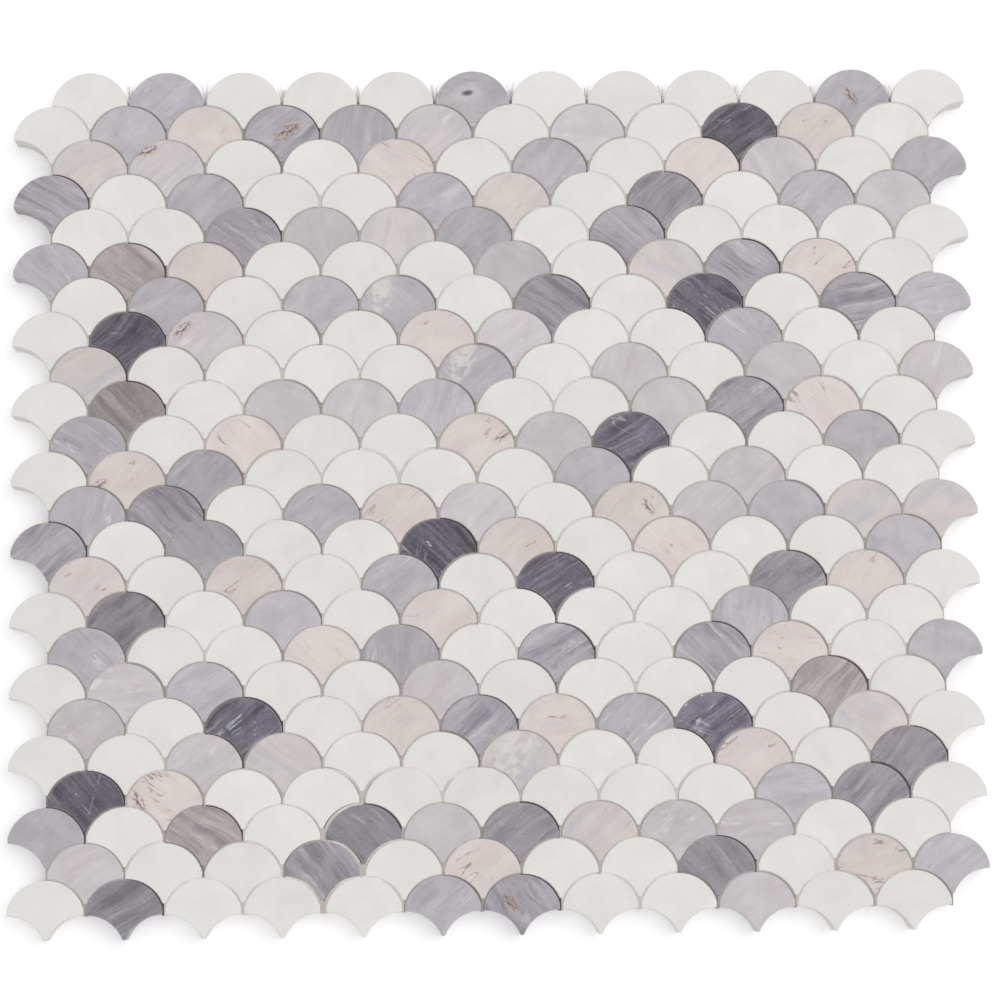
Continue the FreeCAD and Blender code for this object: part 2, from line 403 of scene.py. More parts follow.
@dataclass
class ScaleForm:
    """Outline and body of one marble scale, measured from the centre of its crown arc."""

    width: float = 23.5 * MM
    crown_rise: float = 8.94 * MM
    side_height: float = 1.86 * MM
    tip_width: float = 0.9 * MM
    side_joint: float = 0.9 * MM
    row_joint: float = 0.3 * MM
    arris: float = 0.25 * MM
    thickness: float = 8.0 * MM
    crown_steps: int = 20
    hollow_steps: int = 8

    @property
    def crown_radius(self) -> float:
        """Radius of the crown arc."""
        half = self.width / 2
        return (half**2 + self.crown_rise**2) / (2 * self.crown_rise)

    @property
    def column_pitch(self) -> float:
        """Distance between neighbours in a row."""
        return self.width + self.side_joint

    @property
    def side_top(self) -> float:
        """Level where the crown meets the straight sides."""
        return self.crown_radius - self.crown_rise

    @property
    def side_bottom(self) -> float:
        """Level where the straight sides meet the hollow arcs."""
        return self.side_top - self.side_height

    @property
    def hollow_level(self) -> float:
        """Level of the centres of the two hollow arcs, which have the crown's radius."""
        return self.side_bottom - self.crown_radius

    @property
    def row_pitch(self) -> float:
        """Distance between neighbouring rows."""
        return self.row_joint - self.hollow_level

    @property
    def tip_level(self) -> float:
        """Level of the blunt tip."""
        reach = (self.width - self.tip_width) / 2
        return self.hollow_level + math.sqrt(self.crown_radius**2 - reach**2)

    def outline(self) -> list[Vector]:
        """List the points of the outline.

        Returns:
            The points, anticlockwise from the right end of the crown.
        """
        start = math.atan2(self.side_top, self.width / 2)
        crown = arc(Vector((0, 0)), self.crown_radius, start, math.pi - start, self.crown_steps)
        left = self.hollow()
        return crown + left + [Vector((-point.x, point.y)) for point in reversed(left)]

    def hollow(self) -> list[Vector]:
        """List the points of the left hollow arc.

        Returns:
            The points, from the straight side to the tip.
        """
        centre = Vector((-self.width / 2, self.hollow_level))
        last = math.atan2(self.tip_level - centre.y, -self.tip_width / 2 - centre.x)
        return arc(centre, self.crown_radius, math.pi / 2, last, self.hollow_steps)

    def eased(self) -> list[Vector]:
        """Move the outline in by the width of the arris.

        Returns:
            The moved points, in the outline's order.
        """
        points = self.outline()
        moved = []
        for number, point in enumerate(points):
            before = (point - points[number - 1]).normalized()
            after = (points[(number + 1) % len(points)] - point).normalized()
            inward = Vector((-before.y - after.y, before.x + after.x))
            inward /= max(inward.length_squared / 2, MM)
            moved.append(point + inward * self.arris)
        return moved

    def build(self) -> bpy.types.Object:
        """Make one closed scale that stands on its underside, with an eased face.

        Returns:
            The object, for the laying tree to copy.
        """
        outline = self.outline()
        shoulder = self.thickness - self.arris
        rings = ((outline, 0.0), (outline, shoulder), (self.eased(), self.thickness))
        return closed_form("scale_form", rings)

    def holds(self, points: np.ndarray, centre: tuple[float, float]) -> np.ndarray:
        """Say which points of the plan lie inside the scale at a centre.

        Args:
            points: Points as rows of x and y.
            centre: The place of the scale's crown centre.

        Returns:
            One truth value for each point.
        """
        local = points - np.array(centre)
        across = np.abs(local[:, 0])
        crown = np.hypot(local[:, 0], local[:, 1]) <= self.crown_radius
        hollow = np.hypot(across - self.width / 2, local[:, 1] - self.hollow_level)
        body = (across <= self.width / 2) & (local[:, 1] >= self.tip_level)
        return body & (crown | (local[:, 1] < self.side_top)) & (hollow >= self.crown_radius)


@dataclass
class Laying:
    """The rows and places of the scales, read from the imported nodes."""

    form: ScaleForm
    rows: int = 24
    columns: int = 12
    seam_rows: int = 4
    seam_place: float = 4.0
    seam_opening: float = 0.45 * MM
    # Painted shade of the joints round each scale, darker beside darker marble
    joint_painted_shades: dict[tuple[int, int], float] = field(default_factory=dict)

    def centre(self, row: int, place: int) -> tuple[float, float]:
        """Find the crown centre of a scale.

        Args:
            row: The scale's row, counted from one at the top.
            place: Its place in the row, counted from one at the left.

        Returns:
            The centre on the plan.
        """
        shift = self.form.column_pitch / 4 * (1 if row % 2 else -1)
        across = (place - 1 - (self.columns - 1) / 2) * self.form.column_pitch + shift
        top = CAD_BOX[1].y - self.form.crown_radius
        return across, top - (row - 1) * self.form.row_pitch

    def places_in(self, node: str) -> list[tuple[int, int]]:
        """Find the rows and places of the scales that a node holds.

        Args:
            node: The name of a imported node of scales.

        Returns:
            Row and place of each scale, in order.
        """
        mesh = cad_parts[node].data
        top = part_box(node)[1].z
        corners = np.array([vertex.co for vertex in mesh.vertices])
        faces = np.array([face.vertices[:] for face in mesh.polygons if len(face.vertices) == 3])
        high = corners[faces][:, :, 2].min(axis=1) > top - self.form.arris / 2
        middles = corners[faces[high]].mean(axis=1)[:, :2]
        found = []
        for row in range(1, self.rows + 1):
            for place in range(1, self.columns + 1):
                if self.form.holds(middles, self.centre(row, place)).any():
                    found.append((row, place))
        return found

    def opened(self, row: int, place: int) -> float:
        """Find how far a scale is pushed aside by the wider joint at the foot of the sheet.

        Args:
            row: The scale's row.
            place: Its place in the row.

        Returns:
            The shift to the right, which fades to nothing at the sheet's sides.
        """
        if row <= self.rows - self.seam_rows:
            return 0.0
        side = 1 if place > self.seam_place else -1
        room = self.columns - self.seam_place if side > 0 else self.seam_place
        away = abs(place - self.seam_place - 0.5) - 0.5
        return side * self.seam_opening * (1 - away / (room - 1))

    def looseness(self, row: int, place: int) -> float:
        """Return 1 for a scale that may lie a little uneven, and 0 for one on the rim."""
        return float(1 < row < self.rows and 1 < place < self.columns)


@dataclass(frozen=True)
class Band:
    """Soft bands of one colour along the grain; the width is in millimetres."""

    colour: str
    width: float
    share: float
    edge: float = 0.15
    stretch: float = 0.09


@dataclass(frozen=True)
class Vein:
    """Thin broken veins of one colour; the spacing is in millimetres, the turn in degrees."""

    colour: str
    spacing: float
    share: float
    thickness: float = 0.02
    stretch: float = 0.12
    gaps: float = 0.5
    turn: float = 0.0


@dataclass(frozen=True)
class MarbleFinish:
    """One kind of marble: the node it dresses, its ground colours, and its bands and veins."""

    node: str
    piece: str
    slot: str
    pale: str
    deep: str
    bands: tuple[Band, ...] = ()
    veins: tuple[Vein, ...] = ()
    cloud_size: float = 9.0
    fleck_share: float = 0.0
    crystal_share: float = 0.03
    tone_spread: float = 0.04
    depth: float = 0.0
    # Painted shade that this marble gives the joints round it, as joints between darker stones look
    # dimmer
    joint_painted_shade: float = 0.0


MARBLES = (
    MarbleFinish(
        "white_marble_scales", "white_scales", "white_marble", pale="#E8E6E4", deep="#E1DFDC",
        bands=(Band("#DAD6D2", 8.0, 0.9, 0.2, 0.2), Band("#EBE9E5", 3.0, 0.7, 0.15, 0.2)),
        cloud_size=12.0, crystal_share=0.012, tone_spread=0.025,
    ),
    MarbleFinish(
        "pale_grey_marble_scales", "pale_grey_scales", "pale_grey_marble",
        pale="#CDC9CA", deep="#C0BBBE",
        bands=(
            Band("#CFC2C4", 8.0, 0.7, 0.12, 0.2), Band("#B5B1B6", 3.8, 0.5, 0.13, 0.18),
            Band("#DDDADB", 2.0, 0.35, 0.12, 0.14),
        ),
        veins=(Vein("#E6E4E5", 14.0, 0.55, gaps=0.56),),
        crystal_share=0.035, tone_spread=0.09, joint_painted_shade=0.4,
    ),
    MarbleFinish(
        "blue_grey_marble_scales", "blue_grey_scales", "blue_grey_marble",
        pale="#C2BEC2", deep="#B2AEB3",
        bands=(
            Band("#A5A1A9", 6.5, 0.7, 0.13, 0.2), Band("#D0CDD1", 3.6, 0.5, 0.13, 0.16),
            Band("#9A969E", 1.6, 0.25, 0.12, 0.14),
        ),
        veins=(Vein("#DEDCDF", 13.0, 0.6, 0.015, gaps=0.53), Vein("#8C878E", 9.0, 0.45, 0.01)),
        cloud_size=7.0, crystal_share=0.06, tone_spread=0.08, depth=0.14, joint_painted_shade=0.55,
    ),
    MarbleFinish(
        "striped_grey_marble_scales", "striped_grey_scales", "striped_grey_marble",
        pale="#B2ADB3", deep="#A39DA4",
        bands=(
            Band("#827D86", 6.0, 0.9, 0.1, 0.09), Band("#C8C4CA", 3.6, 0.7, 0.09, 0.07),
            Band("#78737C", 1.5, 0.5, 0.12, 0.06),
        ),
        veins=(
            Vein("#D8D6DA", 14.0, 0.45, 0.012, 0.06, 0.54), Vein("#CBC8CC", 24.0, 0.3, 0.005, turn=64),
        ),
        cloud_size=7.0, crystal_share=0.12, tone_spread=0.09, depth=0.22, joint_painted_shade=0.75,
    ),
    MarbleFinish(
        "charcoal_marble_scales", "charcoal_scales", "charcoal_marble",
        pale="#7C7784", deep="#67626E",
        bands=(
            Band("#46414D", 4.6, 0.8, 0.09, 0.07), Band("#9994A0", 2.0, 0.5, 0.08, 0.05),
            Band("#3D3844", 1.0, 0.5, 0.1, 0.04),
        ),
        veins=(
            Vein("#D3D1D8", 10.0, 0.6, 0.012, 0.05, 0.52), Vein("#B7B4BE", 18.0, 0.5, 0.006, turn=62),
        ),
        cloud_size=6.0, fleck_share=0.8, crystal_share=0.3, tone_spread=0.26, joint_painted_shade=1.0,
    ),
    MarbleFinish(
        "cream_rose_marble_scales", "cream_rose_scales", "cream_rose_marble",
        pale="#DDD5D1", deep="#D3C9C7",
        bands=(
            Band("#C9C3C4", 6.0, 0.5, 0.15, 0.24), Band("#E6DFDB", 3.2, 0.4, 0.15, 0.18),
            Band("#CBB9B0", 1.6, 0.3, 0.14, 0.12),
        ),
        veins=(Vein("#8F6C5C", 10.0, 0.7, 0.012, 0.2, 0.53), Vein("#7C5F54", 5.0, 0.5, 0.008, 0.35, 0.6)),
        crystal_share=0.03, tone_spread=0.06, joint_painted_shade=0.35,
    ),
    MarbleFinish(
        "banded_marble_scales", "banded_scales", "banded_marble",
        pale="#D8D1CE", deep="#CEC8C6",
        bands=(
            Band("#B8B8BE", 9.0, 0.95, 0.09, 0.1), Band("#DCCBC0", 4.6, 0.6, 0.12, 0.09),
            Band("#C8C5C8", 1.8, 0.4, 0.13, 0.08),
        ),
        veins=(Vein("#A98F80", 9.0, 0.5, 0.01, 0.12, 0.54),),
        crystal_share=0.03, tone_spread=0.04, joint_painted_shade=0.35,
    ),
)


class StoneGroups:
    """The shader node groups that every marble shares, each built once."""

    def __init__(self, form: ScaleForm) -> None:
        """Build the groups.

        Args:
            form: The form of the scales.
        """
        self.form = form
        self.cut = self.build_cut()
        self.bands = self.build_bands()
        self.veins = self.build_veins()
        self.edge = self.build_edge()
        self.marks = self.build_marks()
        self.flecks = self.build_flecks()
        self.honing = self.build_honing()

    @staticmethod
    def build_cut() -> bpy.types.NodeTree:
        """Build the group that says where a point lies on its scale and in its block, in millimetres.

        Returns:
            The group.
        """
        bench, _, out = new_group("stone_cut", {}, {"Local": "Vector", "Stone": "Vector"})
        place = bench.attribute("scale_place", "Vector")
        local = bench.scaled(bench.vector("SUBTRACT", bench.object_point(), place), 1 / MM)
        turned = bench.turned(local, bench.attribute("grain_turn", "Fac"))
        stone = bench.vector("ADD", turned, bench.attribute("cut_offset", "Vector"))
        bench.wire(out["Local"], local)
        bench.wire(out["Stone"], stone)
        return bench.tree

    @staticmethod
    def build_bands() -> bpy.types.NodeTree:
        """Build the group for soft bands along the grain, as a mask.

        Returns:
            The group.
        """
        inputs = {"Stone": (0.0, 0.0, 0.0), "Width": 4.0, "Edge": 0.16, "Stretch": 0.12}
        bench, given, out = new_group("grain_bands", inputs, {"Mask": "Float"})
        wander = bench.noise(given["Stone"], 0.05, 2.0)
        bent = bench.compose(up=bench.maths("MULTIPLY", wander, 6.0))
        squeeze = bench.compose(given["Stretch"], 1.0, 0.4)
        point = bench.vector("MULTIPLY", bench.vector("ADD", given["Stone"], bent), squeeze)
        frequency = bench.maths("DIVIDE", 1.0, given["Width"])
        broad = bench.noise(point, frequency, 2.0)
        fibres = bench.noise(point, bench.maths("MULTIPLY", frequency, 3.3), 5.0, 0.75)
        value = bench.maths("MULTIPLY_ADD", broad, 0.6, bench.maths("MULTIPLY", fibres, 0.4))
        low = bench.maths("SUBTRACT", 0.5, given["Edge"])
        high = bench.maths("ADD", 0.5, given["Edge"])
        patchy = bench.ramp(bench.noise(given["Stone"], 0.13, 3.0), 0.36, 0.6, 0.3, 1.0)
        bench.wire(out["Mask"], bench.maths("MULTIPLY", bench.ramp(value, low, high), patchy))
        return bench.tree

    @staticmethod
    def build_veins() -> bpy.types.NodeTree:
        """Build the group for thin broken veins that follow the grain, as a mask.

        Returns:
            The group.
        """
        inputs = {
            "Stone": (0.0, 0.0, 0.0), "Spacing": 9.0, "Thickness": 0.02, "Stretch": 0.12,
            "Gaps": 0.5, "Turn": 0.0,
        }
        bench, given, out = new_group("grain_veins", inputs, {"Mask": "Float"})
        turned = bench.turned(given["Stone"], given["Turn"])
        squeeze = bench.compose(given["Stretch"], 1.0, 0.6)
        point = bench.vector("MULTIPLY", turned, squeeze)
        frequency = bench.maths("DIVIDE", 1.0, given["Spacing"])
        value = bench.noise(point, frequency, 4.0, 0.55)
        ridge = bench.maths("ABSOLUTE", bench.maths("SUBTRACT", value, 0.5))
        line = bench.ramp(ridge, 0.0, given["Thickness"], 1.0, 0.0)
        whole = bench.maths("ADD", given["Gaps"], 0.1)
        broken = bench.ramp(bench.noise(given["Stone"], 0.14, 4.0), given["Gaps"], whole)
        bench.wire(out["Mask"], bench.maths("MULTIPLY", line, broken))
        return bench.tree

    @staticmethod
    def build_flecks() -> bpy.types.NodeTree:
        """Build the group for a few small drawn-out flecks, as a mask.

        Returns:
            The group.
        """
        bench, given, out = new_group("flecks", {"Stone": (0.0, 0.0, 0.0)}, {"Mask": "Float"})
        point = bench.vector("MULTIPLY", given["Stone"], (0.45, 1.0, 1.0))
        value = bench.noise(point, 0.55, 3.0, 0.6)
        bench.wire(out["Mask"], bench.ramp(value, 0.7, 0.74))
        return bench.tree

    def build_edge(self) -> bpy.types.NodeTree:
        """Build the group that says how near a point is to the scale's outline, as a mask.

        Returns:
            The group.
        """
        form = self.form
        half, radius = form.width / 2 / MM, form.crown_radius / MM
        inputs = {"Local": (0.0, 0.0, 0.0), "Reach": 0.5}
        bench, given, out = new_group("scale_edge", inputs, {"Mask": "Float"})
        flat = bench.vector("MULTIPLY", given["Local"], (1.0, 1.0, 0.0))
        up = bench.parts(flat)["Y"]
        aside = bench.parts(bench.vector("ABSOLUTE", flat))["X"]
        crown = bench.maths("SUBTRACT", radius, bench.distance(flat, (0.0, 0.0, 0.0)))
        low = bench.maths("LESS_THAN", up, form.side_top / MM)
        crown = bench.maths("ADD", crown, bench.maths("MULTIPLY", low, form.width / MM))
        straight = bench.maths("SUBTRACT", half, aside)
        hollow = bench.distance(bench.compose(aside, up), (half, form.hollow_level / MM, 0.0))
        hollow = bench.maths("SUBTRACT", hollow, radius)
        nearest = bench.maths("MINIMUM", bench.maths("MINIMUM", crown, straight), hollow)
        bench.wire(out["Mask"], bench.ramp(nearest, 0.0, given["Reach"], 1.0, 0.0))
        return bench.tree

    @staticmethod
    def build_marks() -> bpy.types.NodeTree:
        """Build the group for the knot, rust, cloud or brown cast of a marked scale, as masks.

        Returns:
            The group.
        """
        labels = ("Knot", "Halo", "Rust", "Stain", "Cloud", "Brown")
        bench, given, out = new_group(
            "natural_marks", {"Local": (0.0, 0.0, 0.0)}, {label: "Float" for label in labels}
        )
        local = given["Local"]
        kind = bench.attribute("mark_kind", "Fac")
        away = bench.vector("SUBTRACT", local, bench.attribute("mark_place", "Vector"))
        run = bench.turned(away, bench.attribute("mark_turn", "Fac"))
        drawn_out = bench.vector("MULTIPLY", run, (0.55, 1.15, 0.0))
        smooth = bench.distance(drawn_out, (0.0, 0.0, 0.0))
        smooth = bench.maths("DIVIDE", smooth, bench.attribute("mark_size", "Fac"))
        ragged = bench.maths("MULTIPLY_ADD", bench.noise(local, 0.7, 4.0, 0.65), 3.2, -1.6)
        reach = bench.maths("ADD", smooth, ragged)
        specks = bench.ramp(bench.noise(drawn_out, 0.9, 5.0, 0.65), 0.46, 0.56)
        wisps = bench.ramp(bench.noise(local, 0.3, 4.0, 0.6), 0.42, 0.56)
        smears = bench.ramp(bench.noise(drawn_out, 0.55, 3.0, 0.6), 0.4, 0.6)
        for label, mark, value, core, rim, pattern in (
            ("Knot", Mark.KNOT, smooth, 0.4, 1.5, None),
            ("Halo", Mark.KNOT, reach, 1.4, 4.5, None),
            ("Rust", Mark.RUST, reach, 0.6, 3.2, specks),
            ("Stain", Mark.RUST, reach, 0.8, 4.2, smears),
            ("Cloud", Mark.CLOUD, reach, 1.8, 5.2, wisps),
        ):
            chosen = bench.maths("COMPARE", kind, mark.value, 0.5)
            mask = bench.maths("MULTIPLY", bench.ramp(value, core, rim, 1.0, 0.0), chosen)
            if pattern:
                mask = bench.maths("MULTIPLY", mask, pattern)
            bench.wire(out[label], mask)
        bench.wire(out["Brown"], bench.maths("COMPARE", kind, Mark.BROWN.value, 0.5))
        return bench.tree

    @staticmethod
    def build_honing() -> bpy.types.NodeTree:
        """Build the group for the honed face and the sawn walls.

        Returns:
            The group.
        """
        inputs = {"Stone": (0.0, 0.0, 0.0), "Face": 1.0}
        outputs = {"Height": "Float", "Roughness": "Float", "Crystals": "Float"}
        bench, given, out = new_group("honed_surface", inputs, outputs)
        crystals = bench.noise(given["Stone"], 1.3, 4.0, 0.7)
        bench.wire(out["Crystals"], bench.maths("MULTIPLY_ADD", crystals, 4.0, -2.0))
        grain = bench.noise(given["Stone"], 4.0, 3.0, 0.6)
        swell = bench.noise(given["Stone"], 0.12, 1.0)
        honed = bench.maths("MULTIPLY_ADD", swell, 2.0, grain)
        saw = bench.vector("MULTIPLY", given["Stone"], (2.2, 2.2, 0.12))
        sawn = bench.maths("MULTIPLY_ADD", bench.noise(saw, 1.0, 3.0, 0.6), 9.0, grain)
        wall = bench.maths("SUBTRACT", 1.0, given["Face"])
        honed = bench.maths("MULTIPLY", honed, given["Face"])
        bench.wire(out["Height"], bench.maths("MULTIPLY_ADD", sawn, wall, honed))
        gloss = bench.ramp(swell, 0.3, 0.7, 0.38, 0.5)
        bench.wire(out["Roughness"], bench.maths("MULTIPLY_ADD", wall, 0.2, gloss))
        return bench.tree


class StoneYard:
    """Makes the marble materials from their finishes and the shared groups."""

    RUST = "#6B5049"
    STAIN = "#CDB2A1"
    KNOT = "#4C474A"
    CLOUD = "#DAD7D3"
    # Colour of the lighter rim along the outline: partly dusty arris wear, partly painted highlight
    RIM_DUST_AND_HIGHLIGHT = "#E6E1DE"
    BROWN_CAST = (1.04, 0.99, 0.9, 1.0)
    MARK_LAYERS = (
        ("Cloud", 0.85, CLOUD), ("Halo", 0.4, CLOUD), ("Stain", 0.5, STAIN), ("Rust", 0.85, RUST),
        ("Knot", 0.9, KNOT),
    )
    # Width and share of the lighter rim of arris wear and painted highlight
    RIM_WEAR_AND_HIGHLIGHT_WIDTH = 0.35
    RIM_WEAR_AND_HIGHLIGHT_SHARE = 0.28
    BUMP_DEPTH = 0.02 * MM
    BUMP_STRENGTH = 0.5
    GLOSS = 0.35

    def __init__(self, groups: StoneGroups) -> None:
        """Keep the groups that the materials use."""
        self.groups = groups

    def dress(self, finish: MarbleFinish) -> bpy.types.Material:
        """Build one marble.

        Args:
            finish: The colours and pattern of the marble.

        Returns:
            Its material.
        """
        material, bench, shader = new_material(finish.piece)
        cut = self.place(bench, self.groups.cut, {})
        local, stone = cut.outputs["Local"], cut.outputs["Stone"]
        normal = bench.add("ShaderNodeNewGeometry").outputs["Normal"]
        face = bench.ramp(bench.maths("ABSOLUTE", bench.parts(normal)["Z"]), 0.2, 0.6)
        honing = self.place(bench, self.groups.honing, {"Stone": stone, "Face": face})
        colour = self.body_colour(bench, finish, stone, honing.outputs["Crystals"])
        marks = self.place(bench, self.groups.marks, {"Local": local})
        for label, share, shade in self.MARK_LAYERS:
            part = bench.maths("MULTIPLY", marks.outputs[label], share)
            colour = bench.mix(part, colour, linear(shade))
        brown = bench.mix(1.0, colour, self.BROWN_CAST, "MULTIPLY")
        colour = bench.mix(marks.outputs["Brown"], colour, brown)
        # Lighter rim along the outline: partly dusty arris wear, partly a painted highlight where light
        # catches the edge
        edge = self.place(bench, self.groups.edge, {"Local": local, "Reach": self.RIM_WEAR_AND_HIGHLIGHT_WIDTH})
        rim_wear_and_highlight = bench.maths("MULTIPLY", edge.outputs["Mask"], self.RIM_WEAR_AND_HIGHLIGHT_SHARE)
        bench.wire(shader.inputs["Base Color"], bench.mix(rim_wear_and_highlight, colour, linear(self.RIM_DUST_AND_HIGHLIGHT)))
        bench.wire(shader.inputs["Roughness"], honing.outputs["Roughness"])
        normal = bench.bump(honing.outputs["Height"], self.BUMP_DEPTH, self.BUMP_STRENGTH)
        bench.wire(shader.inputs["Normal"], normal)
        shader.inputs["Specular IOR Level"].default_value = self.GLOSS
        return material

    @staticmethod
    def place(bench: Bench, group: bpy.types.NodeTree, wires: dict) -> bpy.types.Node:
        """Place a shared group in a material.

        Args:
            bench: The bench of the material's tree.
            group: The group.
            wires: The value or output socket for each of its inputs.

        Returns:
            The group's node.
        """
        node = bench.add("ShaderNodeGroup", node_tree=group)
        for key, value in wires.items():
            bench.wire(node.inputs[key], value)
        return node

    def body_colour(self, bench: Bench, finish: MarbleFinish, stone: Any, crystals: Any) -> Any:
        """Build the marble's colour before marks and the lighter rim of arris wear and painted highlight.

        Args:
            bench: The bench of the material's tree.
            finish: The colours and pattern of the marble.
            stone: The place in the block, as an output socket.
            crystals: The fine crystal pattern, as an output socket.

        Returns:
            The colour as an output socket.
        """
        clouds = bench.ramp(bench.noise(stone, 1 / finish.cloud_size, 4.0, 0.55), 0.3, 0.7)
        colour = bench.mix(clouds, linear(finish.pale), linear(finish.deep))
        grain = bench.attribute("grain_shows", "Fac")
        for band in finish.bands:
            wires = {"Stone": stone, "Width": band.width, "Edge": band.edge, "Stretch": band.stretch}
            mask = self.place(bench, self.groups.bands, wires).outputs["Mask"]
            part = bench.maths("MULTIPLY", mask, bench.maths("MULTIPLY", grain, band.share))
            colour = bench.mix(part, colour, linear(band.colour))
        for vein in finish.veins:
            wires = {
                "Stone": stone, "Spacing": vein.spacing, "Thickness": vein.thickness,
                "Stretch": vein.stretch, "Gaps": vein.gaps, "Turn": math.radians(vein.turn),
            }
            mask = self.place(bench, self.groups.veins, wires).outputs["Mask"]
            part = bench.maths("MULTIPLY", mask, bench.maths("MULTIPLY", grain, vein.share))
            colour = bench.mix(part, colour, linear(vein.colour))
        if finish.fleck_share:
            mask = self.place(bench, self.groups.flecks, {"Stone": stone}).outputs["Mask"]
            part = bench.maths("MULTIPLY", mask, finish.fleck_share)
            colour = bench.mix(part, colour, linear(self.CLOUD))
        tone = bench.maths("MULTIPLY_ADD", bench.attribute("tone", "Fac"), finish.tone_spread, 1.0)
        depth = bench.maths("MULTIPLY", bench.attribute("deeper", "Fac"), finish.depth)
        shade = bench.add("ShaderNodeHueSaturation", {"Color": colour})
        value = bench.maths("MULTIPLY_ADD", crystals, finish.crystal_share, tone)
        bench.wire(shade.inputs["Value"], bench.maths("SUBTRACT", value, depth))
        return shade.outputs["Color"]


def new_geometry_tree(name: str, inputs: Sequence[tuple[str, str]]) -> tuple[Bench, Any, Any]:
    """Start a Geometry Nodes tree with named inputs.

    Args:
        name: The tree's name.
        inputs: Label and socket type of each input after the geometry.

    Returns:
        The bench, the sockets that give the tree's inputs and those that take its outputs.
    """
    tree = bpy.data.node_groups.new(name, "GeometryNodeTree")
    tree.interface.new_socket("Geometry", in_out="INPUT", socket_type="NodeSocketGeometry")
    for label, kind in inputs:
        tree.interface.new_socket(label, in_out="INPUT", socket_type=f"NodeSocket{kind}")
    tree.interface.new_socket("Geometry", in_out="OUTPUT", socket_type="NodeSocketGeometry")
    bench = Bench(tree)
    return bench, bench.add("NodeGroupInput").outputs, bench.add("NodeGroupOutput").inputs


def run_tree(
    start: bpy.types.Object, tree: bpy.types.NodeTree, values: dict, piece: str
) -> bpy.types.Object:
    """Run a Geometry Nodes tree on an object and keep the result as a plain mesh.

    Args:
        start: The object that the tree reads. It is removed afterwards.
        tree: The tree.
        values: The value of each named input.
        piece: The name of the finished piece.

    Returns:
        The finished piece, at the origin.
    """
    bpy.context.scene.collection.objects.link(start)
    modifier = start.modifiers.new(tree.name, "NODES")
    modifier.node_group = tree
    for item in tree.interface.items_tree:
        if item.item_type == "SOCKET" and item.in_out == "INPUT" and item.name in values:
            modifier[item.identifier] = values[item.name]
    made = start.evaluated_get(bpy.context.evaluated_depsgraph_get())
    mesh = bpy.data.meshes.new_from_object(made)
    start.modifiers.remove(modifier)
    bpy.data.objects.remove(start)
    mesh.name = piece
    finished = bpy.data.objects.new(piece, mesh)
    bpy.context.scene.collection.objects.link(finished)
    return finished


